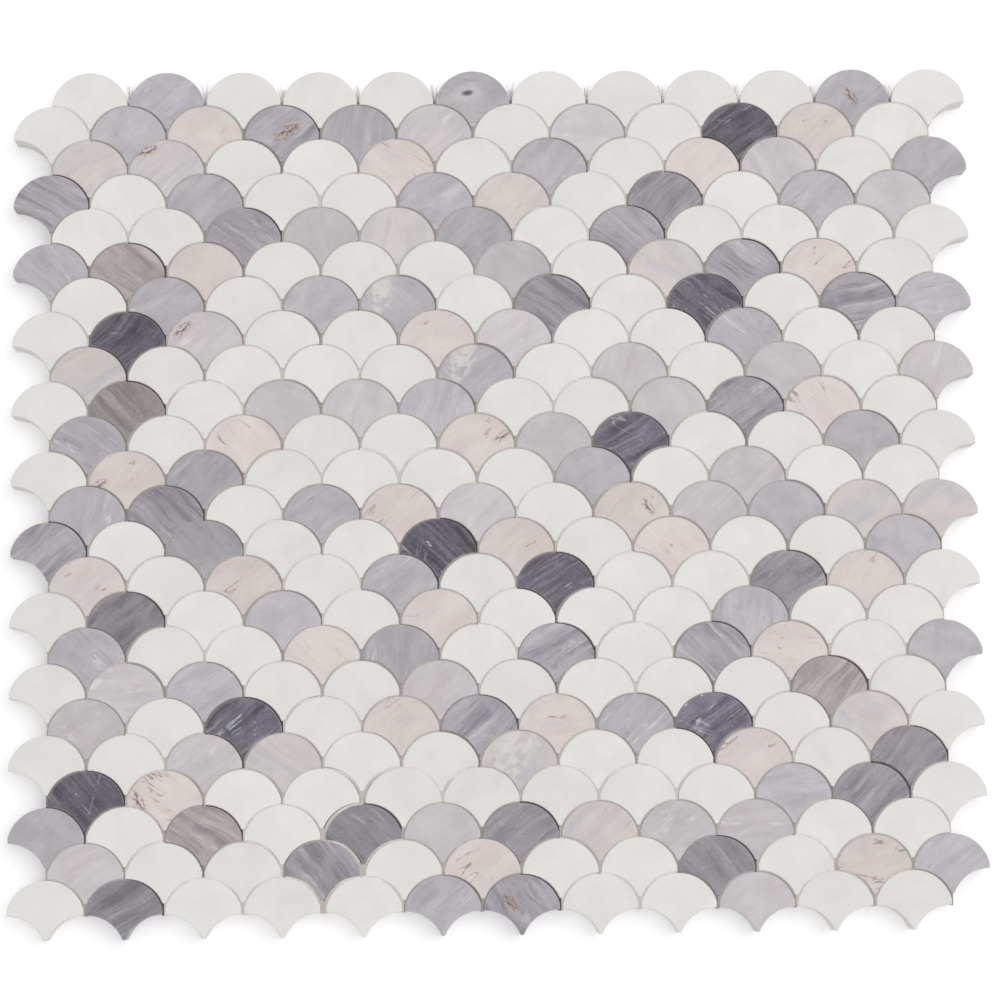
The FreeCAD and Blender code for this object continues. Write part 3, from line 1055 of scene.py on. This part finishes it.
class ScaleLayer:
    """Lays the scales of each marble and dresses them."""

    SMOOTH_ANGLE = math.radians(22)
    WANDER = 0.1 * MM
    LEAN = math.radians(0.22)
    TURN = math.radians(0.5)
    THINNEST = 0.978
    THICKEST = 0.992
    GRAIN_SPREAD = 9.0
    BLOCK_REACH = 400

    def __init__(self, form: ScaleForm, laying: Laying, yard: StoneYard) -> None:
        """Prepare the scale that is copied, the laying tree and the chance of each scale.

        Args:
            form: The form of the scales.
            laying: Their rows and places.
            yard: The maker of the marbles.
        """
        self.laying = laying
        self.yard = yard
        self.blank = form.build()
        self.tree = self.build_tree()
        chance = np.random.RandomState(SEED)
        shape = (laying.rows, laying.columns)
        self.offsets = chance.uniform(-self.BLOCK_REACH, self.BLOCK_REACH, shape + (3,))
        self.tones = chance.uniform(-1, 1, shape)
        self.turns = chance.uniform(-1, 1, shape)
        self.marked = {(mark.row, mark.place): mark for mark in MARKED_SCALES}

    @staticmethod
    def build_tree() -> bpy.types.NodeTree:
        """Build the tree that copies the blank onto points, each a little uneven.

        Returns:
            The tree.
        """
        bench, given, out = new_geometry_tree("lay_scales", (
            ("Blank", "Object"), ("Wander", "Float"), ("Lean", "Float"), ("Turn", "Float"),
            ("Thinnest", "Float"), ("Thickest", "Float"), ("Seed", "Int"), ("Stone", "Material"),
        ))
        spread = {}
        for number, label in enumerate(("Wander", "Lean")):
            reach = given[label]
            high = bench.compose(reach, reach, given["Turn"] if label == "Lean" else 0.0)
            seed = bench.maths("ADD", given["Seed"], float(number))
            wires = {0: bench.vector("MULTIPLY", high, (-1.0, -1.0, -1.0)), 1: high, "Seed": seed}
            chance = bench.add("FunctionNodeRandomValue", wires, data_type="FLOAT_VECTOR")
            spread[label] = bench.scaled(chance.outputs[0], bench.stored("loose"))
        moved = bench.add("GeometryNodeSetPosition", {
            "Geometry": given["Geometry"], "Offset": spread["Wander"],
        })
        position = bench.add("GeometryNodeInputPosition").outputs[0]
        named = bench.store(moved.outputs[0], "scale_place", position, "FLOAT_VECTOR")
        thick = bench.add("FunctionNodeRandomValue", {
            2: given["Thinnest"], 3: given["Thickest"],
            "Seed": bench.maths("ADD", given["Seed"], 2.0),
        }, data_type="FLOAT")
        blank = bench.add("GeometryNodeObjectInfo", {"Object": given["Blank"]})
        copies = bench.add("GeometryNodeInstanceOnPoints", {
            "Points": named, "Instance": blank.outputs["Geometry"], "Rotation": spread["Lean"],
            "Scale": bench.compose(1.0, 1.0, thick.outputs[1]),
        })
        bench.close(out, copies.outputs[0], given["Stone"])
        return bench.tree

    def points(self, places: list[tuple[int, int]]) -> bpy.types.Object:
        """Make the points that a marble's scales stand on, with what each scale is like.

        Args:
            places: Row and place of each scale.

        Returns:
            The points, for the laying tree.
        """
        seat = seat_level()
        spots = []
        for row, place in places:
            across, up = self.laying.centre(row, place)
            spots.append((across + self.laying.opened(row, place), up, seat))
        rows, columns = (np.array(places) - 1).T
        letters = [GRAIN_PLAN[row - 1][place - 1] for row, place in places]
        marks = [self.marked.get(spot) for spot in places]
        turns = []
        for letter, chance in zip(letters, self.turns[rows, columns]):
            shown = math.radians(-GRAIN_TURN.get(letter.lower(), 0.0) - self.GRAIN_SPREAD * chance)
            turns.append(math.pi * chance if letter == "." else shown)
        numbers = {
            "tone": self.tones[rows, columns],
            "deeper": [float(letter.isupper()) for letter in letters],
            "grain_shows": [PLAIN_GRAIN if letter == "." else 1.0 for letter in letters],
            "grain_turn": turns,
            "loose": [self.laying.looseness(row, place) for row, place in places],
            "mark_kind": [mark.mark.value if mark else 0.0 for mark in marks],
            "mark_size": [mark.size if mark else 1.0 for mark in marks],
            "mark_turn": [math.radians(-mark.turn) if mark else 0.0 for mark in marks],
        }
        vectors = {
            "cut_offset": self.offsets[rows, columns],
            "mark_place": [(mark.across_mm, mark.up_mm, 0) if mark else (0, 0, 0) for mark in marks],
        }
        return loose_points("scale_points", spots, numbers, vectors)

    def lay(self, finish: MarbleFinish, seed: int) -> bpy.types.Object:
        """Lay and dress all scales of one marble.

        Args:
            finish: The marble.
            seed: The seed for how uneven its scales lie.

        Returns:
            The finished piece.
        """
        places = self.laying.places_in(finish.node)
        # Each marble's kind sets the painted shade of the joints round its scales
        self.laying.joint_painted_shades.update({spot: finish.joint_painted_shade for spot in places})
        values = {
            "Blank": self.blank, "Wander": self.WANDER, "Lean": self.LEAN, "Turn": self.TURN,
            "Thinnest": self.THINNEST, "Thickest": self.THICKEST, "Seed": seed,
            "Stone": self.yard.dress(finish),
        }
        piece = run_tree(self.points(places), self.tree, values, finish.piece)
        piece.data.shade_smooth()
        piece.data.set_sharp_from_angle(angle=self.SMOOTH_ANGLE)
        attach(piece, BODY)
        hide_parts(finish.node)
        return piece


@dataclass
class JointAdhesiveAndPaintedShade:
    """Adhesive raised into the joints between the scales, partly standing in for the light that the
    translucent marble lets into its joints; its colour carries painted shade.
    """

    form: ScaleForm
    laying: Laying
    height: float = 7.62 * MM
    thinnest: float = 0.965
    grip: float = 0.08 * MM
    step_up: float = 0.02 * MM
    bump_depth: float = 0.1 * MM
    # Half width round the top of each crown that the painted shade of the side joints leaves clear
    crown_part: float = 5.0 * MM
    # Share of the painted shade of the stone above that a joint takes
    painted_shade_from_above: float = 0.75
    # How much darker the painted shade is on the right half joints, and lighter on the left, as light
    # falls from the right
    lee_side_painted_shade: float = 0.3
    # Painted shade at the wider joint at the foot of the sheet, whose fill is pale
    seam_painted_shade: float = 0.12
    crown_steps: int = 16
    hollow_steps: int = 12

    def outline(self) -> list[Vector]:
        """Return one half joint, from the top of a crown to the foot of the side joint.

        Returns:
            The outline's points from the crown's centre, clockwise along the crown, back up the
            middle of the side joint, and along the hollow arc of the scale above on the right.
        """
        form = self.form
        middle = form.column_pitch / 2
        inner = form.crown_radius - self.grip
        foot = form.crown_radius - form.row_pitch
        last = math.atan2(form.side_top, form.width / 2)
        points = arc(Vector((0, 0)), inner, math.pi / 2, last, self.crown_steps)
        points += [Vector((form.width / 2 - self.grip, foot)), Vector((middle, foot))]
        points.append(Vector((middle, form.row_pitch + form.tip_level + self.grip)))
        centre = Vector((middle - form.width / 2, form.row_pitch + form.hollow_level))
        tip = Vector((middle - form.tip_width / 2, form.row_pitch + form.tip_level)) - centre
        first = math.atan2(tip.y, tip.x)
        outer = form.crown_radius + self.grip
        points += arc(centre, outer, first, math.pi / 2, self.hollow_steps)
        return points + [Vector((0, centre.y + outer))]

    def build(self, side: int) -> bpy.types.Object:
        """Make the half joint as a closed strip.

        Args:
            side: 1 for the right side of the crown and -1 for the left.

        Returns:
            The object, for the laying tree to copy.
        """
        points = [Vector((side * point.x, point.y)) for point in self.outline()]
        if side > 0:
            points.reverse()
        return closed_form("half_joint", ((points, 0.0), (points, self.height)))

    def joints(self, side: int) -> tuple[list[Vector], list[float]]:
        """List the half joints on one side of the crowns that have a neighbour above them.

        Args:
            side: 1 for the right side of the crowns and -1 for the left.

        Returns:
            The crown centre of each half joint, and the painted shade that the stones round it and its
            side of the crown give it. The wider joint at the foot of the sheet has a second strip where
            its stones would lie.
            Strips that overlap stand on different levels.
        """
        laying = self.laying
        seat = seat_level()
        spots, painted_shades = [], []
        for row in range(2, laying.rows + 1):
            above_left = 0 if row % 2 else -1
            shift = above_left + (1 if side > 0 else 0)
            for place in range(1, laying.columns + 1):
                if not 1 <= place + shift <= laying.columns:
                    continue
                across, up = laying.centre(row, place)
                opened = laying.opened(row, place)
                # Painted shade: the darker of this scale's own and a share of that of the stone above
                above = laying.joint_painted_shades[row - 1, place + shift]
                shade = max(laying.joint_painted_shades[row, place], self.painted_shade_from_above * above)
                # Painted shade from the light's side: right half joints darker, left half joints lighter,
                # with the lamp to the right
                shade *= 1 + side * self.lee_side_painted_shade
                # The wider joint at the foot keeps only a little painted shade
                if opened and place + side / 2 == laying.seam_place + 0.5:
                    shade = self.seam_painted_shade
                for number, moved in enumerate([opened, 0.0] if opened else [0.0]):
                    step = row % 2 + (2 if side > 0 else 0) + 4 * number
                    spots.append(Vector((across + moved, up, seat + step * self.step_up)))
                    painted_shades.append(shade)
        return spots, painted_shades

    def dress(self) -> bpy.types.Material:
        """Build the dull adhesive with grey crumbs of stone dust and painted shade: darker along the side
        joints, beside dark stones and on the right half joints.

        Returns:
            The material.
        """
        material, bench, shader = new_material("joint_adhesive_painted_shade")
        point = bench.object_point()
        patches = bench.noise(point, 260.0, 4.0, 0.6)
        crumbs = bench.noise(point, 1100.0, 3.0, 0.6)
        colour = bench.mix(bench.ramp(patches, 0.35, 0.65), linear("#ECE7E2"), linear("#DAD3CD"))
        colour = bench.mix(bench.ramp(crumbs, 0.5, 0.8, 0.0, 0.4), colour, linear("#BEB6B0"))
        # Painted shade: the adhesive grows darker towards the straight side joints, away from the top of
        # the crown
        away = bench.vector("SUBTRACT", point, bench.attribute("scale_place", "Vector"))
        aside = bench.parts(bench.vector("ABSOLUTE", away))["X"]
        side = bench.ramp(aside, self.crown_part, self.form.width / 2, 0.0, 0.55)
        colour = bench.mix(side, colour, linear("#B9B0A8"))
        # Painted shade: darker beside dark stones and on the right half joints
        shade = bench.attribute("joint_painted_shade", "Fac")
        bench.wire(shader.inputs["Base Color"], bench.mix(shade, colour, linear("#4A4044")))
        bench.wire(shader.inputs["Roughness"], bench.ramp(crumbs, 0.3, 0.7, 0.7, 0.9))
        bench.wire(shader.inputs["Normal"], bench.bump(crumbs, self.bump_depth))
        return material

    def fill(self, tree: bpy.types.NodeTree) -> list[bpy.types.Object]:
        """Fill the joints by the tree that lays the scales.

        Args:
            tree: The laying tree.

        Returns:
            One piece for the right half joints and one for the left.
        """
        adhesive = self.dress()
        pieces = []
        for name, side, seed in (
            ("joint_adhesive_right", 1, SEED), ("joint_adhesive_left", -1, SEED + LEFT_SEED_STEP),
        ):
            spots, painted_shades = self.joints(side)
            blank = self.build(side)
            values = {
                "Blank": blank, "Wander": 0.0, "Lean": 0.0, "Turn": 0.0,
                "Thinnest": self.thinnest, "Thickest": 1.0, "Seed": seed, "Stone": adhesive,
            }
            # Each joint point carries its painted shade
            start = loose_points("joint_points", spots, {"joint_painted_shade": painted_shades})
            piece = run_tree(start, tree, values, name)
            bpy.data.objects.remove(blank)
            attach(piece, BODY)
            pieces.append(piece)
        return pieces


@dataclass
class BackingMesh:
    """The woven glass fibre mesh that the scales are glued to."""

    form: ScaleForm
    openings_per_scale: int = 5
    strand_width: float = 0.75 * MM
    yarn_pitch: float = 0.38 * MM
    yarn_width: float = 0.36 * MM
    strand_height: float = 0.22 * MM
    loose_end: float = 7.8 * MM
    fray_start: float = 1.2 * MM
    fray_level: float = 0.32 * MM
    fray_length: float = 8.5 * MM
    fibres: int = 22
    fibre_width: float = 0.07 * MM
    shortest_fibre: float = 0.45
    splay: float = math.radians(14)
    lift: float = math.radians(34)
    drift: float = 0.12
    end_spread: float = 0.16
    end_loss: float = 0.3
    bump_depth: float = 0.03 * MM
    steps: int = 3
    sides: int = 5

    @property
    def pitch(self) -> float:
        """Distance between neighbouring threads."""
        return self.form.column_pitch / self.openings_per_scale

    def nodes(self) -> list[str]:
        """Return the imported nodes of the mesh."""
        return sorted(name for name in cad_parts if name.startswith("mesh_panel"))

    def build_tree(self) -> bpy.types.NodeTree:
        """Build the tree that weaves one set of parallel threads over and under the other.

        Returns:
            The tree.
        """
        bench, given, out = new_geometry_tree("weave_threads", (
            ("Threads", "Int"), ("Yarns", "Int"), ("Crossings", "Int"), ("Pitch", "Float"),
            ("Yarn Pitch", "Float"), ("Width", "Float"), ("Height", "Float"), ("Rise", "Float"),
            ("Loose End", "Float"), ("Steps", "Int"), ("Sides", "Int"), ("Turn", "Float"),
            ("Middle", "Vector"), ("Seed", "Int"), ("Fibre", "Material"),
        ))
        pitch = given["Pitch"]
        spans = bench.maths("SUBTRACT", given["Crossings"], 1.0)
        reach = bench.maths("MULTIPLY", spans, pitch)
        half = bench.maths("MULTIPLY", reach, 0.5)
        yarns = given["Yarns"]
        starts = bench.add("GeometryNodeMeshLine", {
            "Count": bench.maths("MULTIPLY", given["Threads"], yarns), "Offset": (0, 0, 0),
        })
        index = bench.add("GeometryNodeInputIndex").outputs[0]
        thread = bench.maths("FLOOR", bench.maths("DIVIDE", bench.maths("ADD", index, 0.5), yarns))
        yarn = bench.maths("SUBTRACT", index, bench.maths("MULTIPLY", thread, yarns))
        side = bench.maths("MULTIPLY", bench.maths("SUBTRACT", yarns, 1.0), -0.5)
        side = bench.maths("MULTIPLY", bench.maths("ADD", side, yarn), given["Yarn Pitch"])
        row = bench.maths("MULTIPLY", bench.maths("SUBTRACT", given["Threads"], 1.0), -0.5)
        row = bench.maths("MULTIPLY_ADD", bench.maths("ADD", row, thread), pitch, side)
        spaced = bench.add("GeometryNodeSetPosition", {
            "Geometry": starts.outputs[0], "Position": bench.compose(row),
        })
        numbered = bench.store(spaced.outputs[0], "beat", bench.maths("ADD", thread, yarn))
        numbered = bench.store(numbered, "yarn_number", index)
        line = bench.add("GeometryNodeCurvePrimitiveLine", {
            "Start": bench.compose(up=bench.maths("MULTIPLY", half, -1.0)),
            "End": bench.compose(up=bench.maths("ADD", half, given["Loose End"])),
        })
        points = bench.maths("MULTIPLY_ADD", spans, given["Steps"], 3.0)
        fine = bench.add("GeometryNodeResampleCurve", {"Curve": line.outputs[0], "Count": points})
        laid = bench.add("GeometryNodeInstanceOnPoints", {
            "Points": numbered, "Instance": fine.outputs[0],
        })
        threads = bench.add("GeometryNodeRealizeInstances", {"Geometry": laid.outputs[0]})
        position = bench.add("GeometryNodeInputPosition").outputs[0]
        along = bench.parts(position)["Y"]
        crossed = bench.maths("DIVIDE", bench.maths("ADD", along, half), pitch)
        phase = bench.maths("MULTIPLY", bench.maths("ADD", crossed, bench.stored("beat")), math.pi)
        wave = bench.maths("MULTIPLY", bench.maths("COSINE", phase), given["Rise"])
        wires = {"ID": bench.stored("yarn_number"), "Seed": given["Seed"]}
        chance = bench.add("FunctionNodeRandomValue", wires, data_type="FLOAT").outputs[1]
        beyond = bench.maths("MAXIMUM", bench.maths("SUBTRACT", along, half), 0.0)
        short = bench.maths("MULTIPLY", beyond, bench.maths("MULTIPLY", chance, -self.end_loss))
        drift = bench.maths("SUBTRACT", bench.noise(position, 60.0, 1.0), 0.5)
        drift = bench.maths("MULTIPLY", drift, bench.maths("MULTIPLY", pitch, self.drift))
        spread = bench.maths("MULTIPLY", bench.maths("SUBTRACT", chance, 0.5), self.end_spread)
        drift = bench.maths("MULTIPLY_ADD", beyond, spread, drift)
        woven = bench.add("GeometryNodeSetPosition", {
            "Geometry": threads.outputs[0], "Offset": bench.compose(drift, short, wave),
        })
        upright = bench.add("GeometryNodeSetCurveNormal", {"Curve": woven.outputs[0]}, mode="Z_UP")
        ring = bench.add("GeometryNodeCurvePrimitiveCircle", {
            "Resolution": given["Sides"], "Radius": 0.5,
        })
        section = bench.add("GeometryNodeTransform", {
            "Geometry": ring.outputs[0],
            "Scale": bench.compose(given["Width"], given["Height"], 1.0),
        })
        solid = bench.add("GeometryNodeCurveToMesh", {
            "Curve": upright.outputs[0], "Profile Curve": section.outputs[0], "Fill Caps": True,
        })
        placed = bench.add("GeometryNodeTransform", {
            "Geometry": solid.outputs[0], "Rotation": bench.compose(out=given["Turn"]),
            "Translation": given["Middle"],
        })
        bench.close(out, placed.outputs[0], given["Fibre"])
        return bench.tree

    @staticmethod
    def build_fray_tree() -> bpy.types.NodeTree:
        """Build the tree that stands a spray of fine fibres on each point.

        Returns:
            The tree.
        """
        bench, given, out = new_geometry_tree("fray_fibres", (
            ("Fibres", "Int"), ("Length", "Float"), ("Shortest", "Float"), ("Thickness", "Float"),
            ("Splay", "Float"), ("Lift", "Float"), ("Seed", "Int"), ("Fibre", "Material"),
        ))
        many = bench.add("GeometryNodeDuplicateElements", {
            "Geometry": given["Geometry"], "Amount": given["Fibres"],
        }, domain="POINT")
        line = bench.add("GeometryNodeCurvePrimitiveLine", {"Start": (0, 0, 0), "End": (0, 1, 0)})
        fine = bench.add("GeometryNodeResampleCurve", {"Curve": line.outputs[0], "Count": 6})
        turn = bench.add("FunctionNodeRandomValue", {
            0: bench.compose(out=bench.maths("MULTIPLY", given["Splay"], -1.0)),
            1: bench.compose(given["Lift"], out=given["Splay"]),
            "Seed": given["Seed"],
        }, data_type="FLOAT_VECTOR")
        long = bench.add("FunctionNodeRandomValue", {
            2: bench.maths("MULTIPLY", given["Length"], given["Shortest"]),
            3: given["Length"], "Seed": bench.maths("ADD", given["Seed"], 1.0),
        }, data_type="FLOAT")
        laid = bench.add("GeometryNodeInstanceOnPoints", {
            "Points": many.outputs[0], "Instance": fine.outputs[0],
            "Rotation": turn.outputs[0], "Scale": long.outputs[1],
        })
        fibres = bench.add("GeometryNodeRealizeInstances", {"Geometry": laid.outputs[0]})
        place = bench.add("GeometryNodeInputPosition").outputs[0]
        curl = bench.add("ShaderNodeTexNoise", {"Vector": place, "Scale": 260.0, "Detail": 1.0})
        curl = bench.vector("SUBTRACT", curl.outputs["Color"], (0.5, 0.5, 0.5))
        curl = bench.vector("MULTIPLY", curl, (0.9 * MM, 0.9 * MM, 0.3 * MM))
        bent = bench.add("GeometryNodeSetPosition", {"Geometry": fibres.outputs[0], "Offset": curl})
        radius = bench.maths("MULTIPLY", given["Thickness"], 0.5)
        ring = bench.add("GeometryNodeCurvePrimitiveCircle", {"Resolution": 4, "Radius": radius})
        solid = bench.add("GeometryNodeCurveToMesh", {
            "Curve": bent.outputs[0], "Profile Curve": ring.outputs[0], "Fill Caps": True,
        })
        bench.close(out, solid.outputs[0], given["Fibre"])
        return bench.tree

    def fray(self, laying: Laying) -> bpy.types.Object:
        """Fray the cut ends of the threads in the notches between the top crowns.

        Args:
            laying: The rows and places of the scales.

        Returns:
            The finished piece.
        """
        spots = []
        for place in range(1, laying.columns):
            across, _ = laying.centre(1, place)
            up = laying.centre(2, place)[1] + self.form.crown_radius + self.fray_start
            spots.append((across + self.form.column_pitch / 2, up, self.fray_level))
        values = {
            "Fibres": self.fibres, "Length": self.fray_length, "Shortest": self.shortest_fibre,
            "Thickness": self.fibre_width, "Splay": self.splay, "Lift": self.lift, "Seed": SEED,
            "Fibre": self.dress_frayed(),
        }
        start = loose_points("notches", spots)
        piece = run_tree(start, self.build_fray_tree(), values, "mesh_frayed_ends")
        piece.data.shade_flat()
        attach(piece, BODY)
        return piece

    @staticmethod
    def dress_frayed() -> bpy.types.Material:
        """Build the pale, faintly rosy look of single loose fibres.

        Returns:
            The material.
        """
        material, bench, shader = new_material("frayed_fibre")
        patches = bench.ramp(bench.noise(bench.object_point(), 900.0, 3.0), 0.35, 0.65)
        colour = bench.mix(patches, linear("#FFF8FA"), linear("#F6E6EC"))
        bench.wire(shader.inputs["Base Color"], colour)
        bench.wire(shader.inputs["Roughness"], bench.maths("MULTIPLY_ADD", patches, 0.2, 0.5))
        return material

    def dress(self) -> bpy.types.Material:
        """Build the milky coated glass fibre of the threads.

        Returns:
            The material.
        """
        material, bench, shader = new_material("glass_fibre")
        point = bench.object_point()
        strands = bench.noise(point, 4500.0, 2.0, 0.6)
        patches = bench.noise(point, 140.0, 3.0)
        colour = bench.mix(bench.ramp(patches, 0.35, 0.65), linear("#FAF3F5"), linear("#F0E4E9"))
        between = bench.ramp(strands, 0.35, 0.7, 0.0, 0.35)
        bench.wire(shader.inputs["Base Color"], bench.mix(between, colour, linear("#DCCFD3")))
        bench.wire(shader.inputs["Roughness"], bench.ramp(strands, 0.3, 0.7, 0.45, 0.7))
        bench.wire(shader.inputs["Normal"], bench.bump(strands, self.bump_depth))
        return material

    def weave(self, laying: Laying) -> list[bpy.types.Object]:
        """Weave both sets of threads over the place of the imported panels.

        Args:
            laying: The rows and places of the scales.

        Returns:
            The two sets of threads and their frayed ends.
        """
        nodes = self.nodes()
        low = Vector(map(min, *(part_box(node)[0] for node in nodes)))
        high = Vector(map(max, *(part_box(node)[1] for node in nodes)))
        middle = (low + high - Vector((0, self.pitch, 0))) / 2
        across = round((high.x - low.x - self.strand_width) / self.pitch) + 1
        up = round((high.y - low.y - self.strand_width) / self.pitch)
        rise = (high.z - low.z - self.strand_height) / 2
        tree = self.build_tree()
        fibre = self.dress()
        pieces = []
        for name, threads, yarns, width, crossings, turn, side, loose in (
            ("mesh_threads_upright", across, 2, self.yarn_width, up, 0.0, 1, self.loose_end),
            ("mesh_threads_level", up, 1, self.strand_width, across, math.pi / 2, -1, 0.0),
        ):
            values = {
                "Threads": threads, "Yarns": yarns, "Crossings": crossings, "Pitch": self.pitch,
                "Yarn Pitch": self.yarn_pitch, "Width": width, "Height": self.strand_height,
                "Rise": side * rise, "Loose End": loose, "Steps": self.steps, "Sides": self.sides,
                "Turn": turn, "Middle": middle, "Seed": SEED, "Fibre": fibre,
            }
            start = bpy.data.objects.new("thread_start", bpy.data.meshes.new("thread_start"))
            piece = run_tree(start, tree, values, name)
            piece.data.shade_smooth()
            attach(piece, BODY)
            pieces.append(piece)
        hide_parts(*nodes)
        pieces.append(self.fray(laying))
        return pieces


@dataclass
class Studio:
    """Floor, light and camera round the sheet."""

    floor_size: float = 3.0
    floor_glow: float = 0.24
    sky_light: float = 0.73
    lamp_place: tuple[float, float, float] = (3.6, 2.0, 6.4)
    lamp_size: float = 6.0
    lamp_power: float = 184.0
    camera_foot: tuple[float, float] = (-0.02, -0.0998)
    camera_height: float = 0.83
    camera_tilt: tuple[float, float, float] = (6.823, -1.392, -0.692)
    lens: float = 94.78

    def build_floor(self) -> None:
        """Lay a white floor that reads as white and still takes the sheet's shadow."""
        half = self.floor_size / 2
        mesh = bpy.data.meshes.new("floor")
        corners = [(-half, -half, 0), (half, -half, 0), (half, half, 0), (-half, half, 0)]
        mesh.from_pydata(corners, [], [(0, 1, 2, 3)])
        floor = bpy.data.objects.new("floor", mesh)
        bpy.context.scene.collection.objects.link(floor)
        material, bench, shader = new_material("white_floor")
        shader.inputs["Base Color"].default_value = linear("#F4F4F4")
        shader.inputs["Roughness"].default_value = 0.9
        shader.inputs["Specular IOR Level"].default_value = 0.0
        path = bench.add("ShaderNodeLightPath")
        seen = bench.maths("MAXIMUM", path.outputs["Is Camera Ray"], path.outputs["Is Glossy Ray"])
        seen = bench.maths("MAXIMUM", seen, path.outputs["Is Transmission Ray"])
        bench.wire(shader.inputs["Emission Strength"], bench.maths("MULTIPLY", seen, self.floor_glow))
        shader.inputs["Emission Color"].default_value = (1.0, 1.0, 1.0, 1.0)
        mesh.materials.append(material)

    def build_world(self) -> None:
        """Light the sheet evenly from all round, with a sky that the camera sees as white."""
        world = bpy.data.worlds.new("studio")
        bpy.context.scene.world = world
        world.use_nodes = True
        bench = Bench(world.node_tree)
        light = bench.tree.nodes["Background"]
        path = bench.add("ShaderNodeLightPath")
        seen = bench.maths("MAXIMUM", path.outputs["Is Camera Ray"], path.outputs["Is Transmission Ray"])
        strength = bench.maths("MULTIPLY_ADD", seen, 1.0 - self.sky_light, self.sky_light)
        bench.wire(light.inputs["Strength"], strength)
        light.inputs["Color"].default_value = (1.0, 1.0, 1.0, 1.0)

    def build_lamp(self) -> None:
        """Hang one square soft lamp that faces the middle of the sheet."""
        lamp = bpy.data.lights.new("key_lamp", "AREA")
        lamp.size = self.lamp_size
        lamp.energy = self.lamp_power
        holder = bpy.data.objects.new("key_lamp", lamp)
        holder.location = self.lamp_place
        holder.rotation_euler = (-Vector(self.lamp_place)).to_track_quat("-Z", "Y").to_euler()
        bpy.context.scene.collection.objects.link(holder)

    def build_camera(self) -> None:
        """Hang the camera nearly overhead, over the lower part of the sheet."""
        camera = bpy.data.cameras.new("camera")
        camera.lens = self.lens
        camera.clip_start = 0.01
        holder = bpy.data.objects.new("camera", camera)
        holder.location = (*self.camera_foot, self.camera_height)
        holder.rotation_euler = [math.radians(angle) for angle in self.camera_tilt]
        bpy.context.scene.collection.objects.link(holder)
        bpy.context.scene.camera = holder

    def build(self) -> None:
        """Set up floor, light and camera."""
        self.build_floor()
        self.build_world()
        self.build_lamp()
        self.build_camera()
        bpy.context.scene.view_settings.view_transform = "Standard"


def main() -> None:
    """Build the sheet's pieces in order, then the studio."""
    logging.basicConfig(level=logging.INFO, format="%(name)s: %(message)s")
    form = ScaleForm()
    laying = Laying(form)
    layer = ScaleLayer(form, laying, StoneYard(StoneGroups(form)))
    pieces = []
    for number, finish in enumerate(MARBLES):
        pieces.append(layer.lay(finish, SEED + MARBLE_SEED_STEP * number))
    bpy.data.objects.remove(layer.blank)
    pieces += JointAdhesiveAndPaintedShade(form, laying).fill(layer.tree)
    pieces += BackingMesh(form).weave(laying)
    for piece in pieces:
        log.info("%s: %d faces", piece.name, len(piece.data.polygons))
    Studio().build()


if __name__ == "__main__":
    main()
